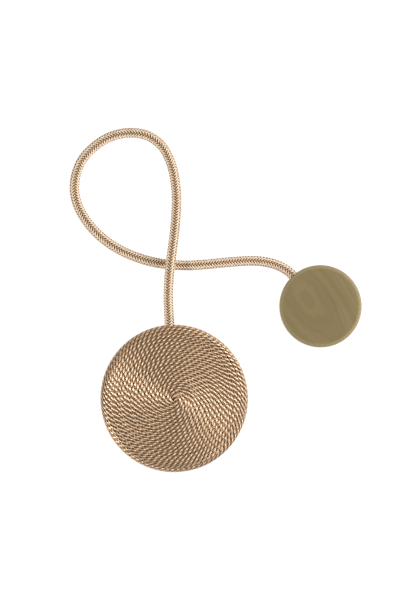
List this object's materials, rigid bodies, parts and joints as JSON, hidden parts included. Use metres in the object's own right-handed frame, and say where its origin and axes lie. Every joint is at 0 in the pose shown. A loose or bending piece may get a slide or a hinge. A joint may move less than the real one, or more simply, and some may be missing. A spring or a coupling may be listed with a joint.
{
  "type": "magnetic curtain tieback",
  "caption": "Curtain tieback: a disc wound with twisted cord and a smooth magnetic disc, joined by a looped braided cord that wraps round a gathered curtain and holds it.",
  "frame": {"origin": "middle of the wound disc's flat back, on the surface that the tieback lies on", "axes": "+Z out of the wound face, away from the surface; +X towards the smooth disc's side; +Y towards the cord's loop"},
  "size_m": [0.1581, 0.1865, 0.0125],
  "materials": {
    "twisted_cord": "silky two-ply twisted cord in brown gold, glossy along its fibres",
    "braid": "silky herringbone braid in pale gold",
    "moulded_plastic": "smooth olive gold moulding with faint flow streaks"
  },
  "bodies": {
    "root": {"wound_disc": "twisted_cord", "braided_cord": "braid", "smooth_disc": "moulded_plastic"}
  },
  "joints": []
}
